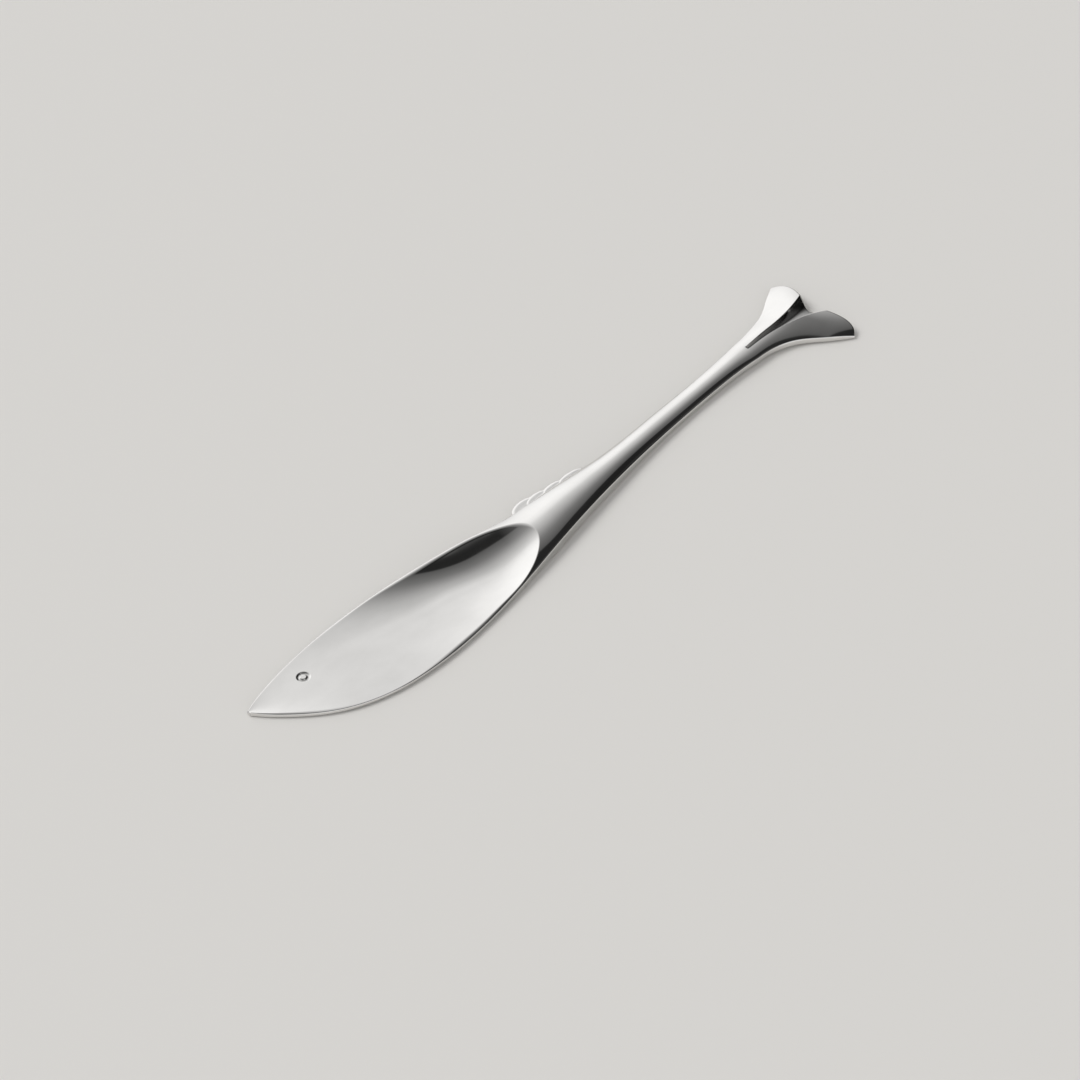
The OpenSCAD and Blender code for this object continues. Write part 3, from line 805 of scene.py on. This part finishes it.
def fin_piece():
    """The fin, from its scalloped outline to its flat root on the neck."""
    stations = np.linspace(FIN_END_GAP, FIN_LENGTH - FIN_END_GAP, 260)
    outline = fin_outline(stations)
    radius = np.minimum(EDGE_ROUND, FIN_EDGE_SHARE * outline)
    shares = np.linspace(1, 0, 36)
    x = FIN_AT + stations[:, None] + 0 * shares
    y = -NECK_DROP + shares * (outline - radius)[:, None]
    walls = {1: wall_normals(fin_outline, stations, 1)}
    points, normals, _ = sections(x, y, fin_face, fin_underside, radius, walls)
    return loft("scalloped_fin", points, normals)


def pupil_piece():
    """The turned pupil: a foot in its seat, a bevel and a flat face."""
    eye_top = float(blade_face(EYE_AT, -EYE_DROP))
    shoulder = PUPIL_R - PUPIL_FACE_R
    bevel = np.linspace(PUPIL_R, PUPIL_FACE_R, 20, endpoint=False)
    face = [PUPIL_FACE_R, 0.3, 0.05]
    radii = np.concatenate([bevel, face])
    heights = eye_top - RING_DEPTH * ease((radii - PUPIL_FACE_R) / shoulder)
    slopes = np.gradient(heights, radii)
    foot = eye_top - RING_DEPTH - SEAT_DEPTH
    profile = [(PUPIL_R, foot, (1, 0)), (PUPIL_R, heights[0], (1, 0))]
    for r, z, slope in zip(radii[1:], heights[1:], slopes[1:]):
        profile.append((r, z, unit(np.array((-slope, 1)))))
    turn = np.linspace(0, 2 * math.pi, 64, endpoint=False)
    ring = np.stack([np.cos(turn), np.sin(turn), 0 * turn], -1)
    up = np.array((0, 0, 1))
    centre = np.array((EYE_AT, -EYE_DROP, 0))
    points = np.array([centre + r * ring + z * up for r, z, _ in profile])
    normals = np.array([out * ring + rise * up for _, _, (out, rise) in profile])
    return loft("eye_pupil", points, normals)


# Looks
def remap(tree, value, from_low, from_high, to_low, to_high):
    node = tree.nodes.new("ShaderNodeMapRange")
    limits = {"From Min": from_low, "From Max": from_high, "To Min": to_low, "To Max": to_high}
    for name, limit in limits.items():
        node.inputs[name].default_value = limit
    tree.links.new(value, node.inputs["Value"])
    return node.outputs["Result"]


def combine(tree, operation, a, b):
    node = tree.nodes.new("ShaderNodeMath")
    node.operation = operation
    tree.links.new(a, node.inputs[0])
    tree.links.new(b, node.inputs[1])
    return node.outputs["Value"]


def polished_steel():
    """Mirror steel with faint polishing lines along it, soft handling marks, and recesses that are
    rougher and darkened with painted shade.
    """
    material = bpy.data.materials.new(SLOT)
    material.use_nodes = True
    tree = material.node_tree
    nodes, links = tree.nodes, tree.links
    shader = nodes["Principled BSDF"]
    shader.inputs["Metallic"].default_value = 1
    place_in = nodes.new("ShaderNodeTexCoord").outputs["Object"]

    def noise(scale, detail):
        mapping = nodes.new("ShaderNodeMapping")
        mapping.inputs["Scale"].default_value = scale
        texture = nodes.new("ShaderNodeTexNoise")
        texture.inputs["Scale"].default_value = 1
        texture.inputs["Detail"].default_value = detail
        links.new(place_in, mapping.inputs["Vector"])
        links.new(mapping.outputs["Vector"], texture.inputs["Vector"])
        return texture.outputs["Fac"]

    lines = noise(LINE_SCALE, LINE_DETAIL)
    marks = noise(MARK_SCALE, MARK_DETAIL)
    recess_node = nodes.new("ShaderNodeAttribute")
    recess_node.attribute_name = "recess"
    recess = recess_node.outputs["Fac"]
    from_marks = remap(tree, marks, *MARK_RANGE, *MARK_ROUGHNESS)
    from_lines = remap(tree, lines, *MARK_RANGE, 0, LINE_ROUGHNESS)
    from_recess = remap(tree, recess, 0, 1, 0, RECESS_ROUGHNESS)
    gloss = combine(tree, "ADD", from_marks, from_lines)
    links.new(combine(tree, "ADD", gloss, from_recess), shader.inputs["Roughness"])
    tint = nodes.new("ShaderNodeValToRGB")
    for element, position, colour in zip(tint.color_ramp.elements, MARK_RANGE, MARK_TINTS):
        element.position = position
        element.color = colour
    links.new(marks, tint.inputs["Fac"])
    # Painted shade: the colour darkens where the recess mark is set, in the eye's ring and the tail's
    # channel
    painted_shade = nodes.new("ShaderNodeVectorMath")
    painted_shade.operation = "SCALE"
    links.new(tint.outputs["Color"], painted_shade.inputs[0])
    links.new(remap(tree, recess, 0, 1, 1, RECESS_PAINTED_SHADE), painted_shade.inputs["Scale"])
    links.new(painted_shade.outputs["Vector"], shader.inputs["Base Color"])
    bump = nodes.new("ShaderNodeBump")
    bump.inputs["Strength"].default_value = 1
    bump.inputs["Distance"].default_value = LINE_HEIGHT
    links.new(lines, bump.inputs["Height"])
    links.new(bump.outputs["Normal"], shader.inputs["Normal"])
    return material


def pale_floor():
    reach = FLOOR_REACH
    mesh = bpy.data.meshes.new("floor")
    low = cad_low.z - FLOOR_GAP * MM
    corners = [(-reach, -reach, low), (reach, -reach, low), (reach, reach, low), (-reach, reach, low)]
    mesh.from_pydata(corners, [], [(0, 1, 2, 3)])
    material = bpy.data.materials.new("pale_floor")
    material.use_nodes = True
    shader = material.node_tree.nodes["Principled BSDF"]
    shader.inputs["Base Color"].default_value = FLOOR_COLOUR
    shader.inputs["Roughness"].default_value = FLOOR_ROUGHNESS
    mesh.materials.append(material)
    floor = bpy.data.objects.new("floor", mesh)
    bpy.context.scene.collection.objects.link(floor)


def studio_sky():
    """A bright window behind the object, in a room dark on the tail's side and light on the nose's."""
    world = bpy.data.worlds.new("studio")
    bpy.context.scene.world = world
    world.use_nodes = True
    tree = world.node_tree
    nodes, links = tree.nodes, tree.links
    direction = nodes.new("ShaderNodeTexCoord").outputs["Generated"]
    towards = nodes.new("ShaderNodeVectorMath")
    towards.operation = "DOT_PRODUCT"
    towards.inputs[1].default_value = WINDOW
    links.new(direction, towards.inputs[0])
    split = nodes.new("ShaderNodeSeparateXYZ")
    links.new(direction, split.inputs["Vector"])

    def graded(value, levels):
        """Brightness by a value from -1 to 1."""
        fade = nodes.new("ShaderNodeValToRGB")
        while len(fade.color_ramp.elements) < len(levels):
            fade.color_ramp.elements.new(1)
        for element, (share, level) in zip(fade.color_ramp.elements, levels):
            element.position = (1 + share) / 2
            element.color = (level, level, level, 1)
        links.new(remap(tree, value, -1, 1, 0, 1), fade.inputs["Fac"])
        return fade.outputs["Color"]

    sideways, backwards = split.outputs["X"], split.outputs["Y"]
    side = remap(tree, sideways, SIDE_FROM, SIDE_TO, 1, SIDE_LEVEL)
    window = combine(tree, "MULTIPLY", graded(towards.outputs["Value"], SKY_LEVELS), side)
    in_front = remap(tree, backwards, FRONT_FROM, FRONT_TO, 0, 1)
    front = combine(tree, "MULTIPLY", graded(sideways, FRONT_LEVELS), in_front)
    room = combine(tree, "MAXIMUM", graded(sideways, ROOM_LEVELS), front)
    links.new(combine(tree, "ADD", window, room), nodes["Background"].inputs["Color"])


def soft_lamp(name, towards, energy, spread):
    """Soft light from one direction that casts a shadow and isn't mirrored in the steel."""
    lamp = bpy.data.lights.new(name, "SUN")
    lamp.energy = energy
    lamp.angle = math.radians(spread)
    light = bpy.data.objects.new(name, lamp)
    light.rotation_euler = Vector(towards).to_track_quat("Z", "Y").to_euler()
    light.visible_glossy = False
    bpy.context.scene.collection.objects.link(light)


def camera():
    azimuth, elevation = math.radians(CAMERA_AZIMUTH), math.radians(CAMERA_ELEVATION)
    towards = Vector((
        math.cos(elevation) * math.cos(azimuth),
        math.cos(elevation) * math.sin(azimuth),
        math.sin(elevation),
    ))
    view = bpy.data.cameras.new("camera")
    view.lens = CAMERA_LENS
    view.sensor_width = SENSOR_WIDTH
    eye = bpy.data.objects.new("camera", view)
    roll = Matrix.Rotation(math.radians(CAMERA_ROLL), 3, "Z")
    turn = (-towards).to_track_quat("-Z", "Y").to_matrix() @ roll
    place_at = Vector(place(LOOK_AT)) + towards * CAMERA_DISTANCE * MM
    eye.matrix_world = Matrix.Translation(place_at) @ turn.to_4x4()
    bpy.context.scene.collection.objects.link(eye)
    bpy.context.scene.camera = eye


bpy.context.scene.view_settings.view_transform = "Standard"
camera()
pale_floor()
studio_sky()
soft_lamp("window", *WINDOW_LAMP)
soft_lamp("room", *ROOM_LAMP)
steel = polished_steel()
makers = {
    "blade": blade_piece,
    "eye_stud": pupil_piece,
    "handle": handle_piece,
    "dorsal_fin": fin_piece,
    "tail": tail_piece,
}
for node, make in makers.items():
    piece = make()
    piece.data.materials.append(steel)
    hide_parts(node)
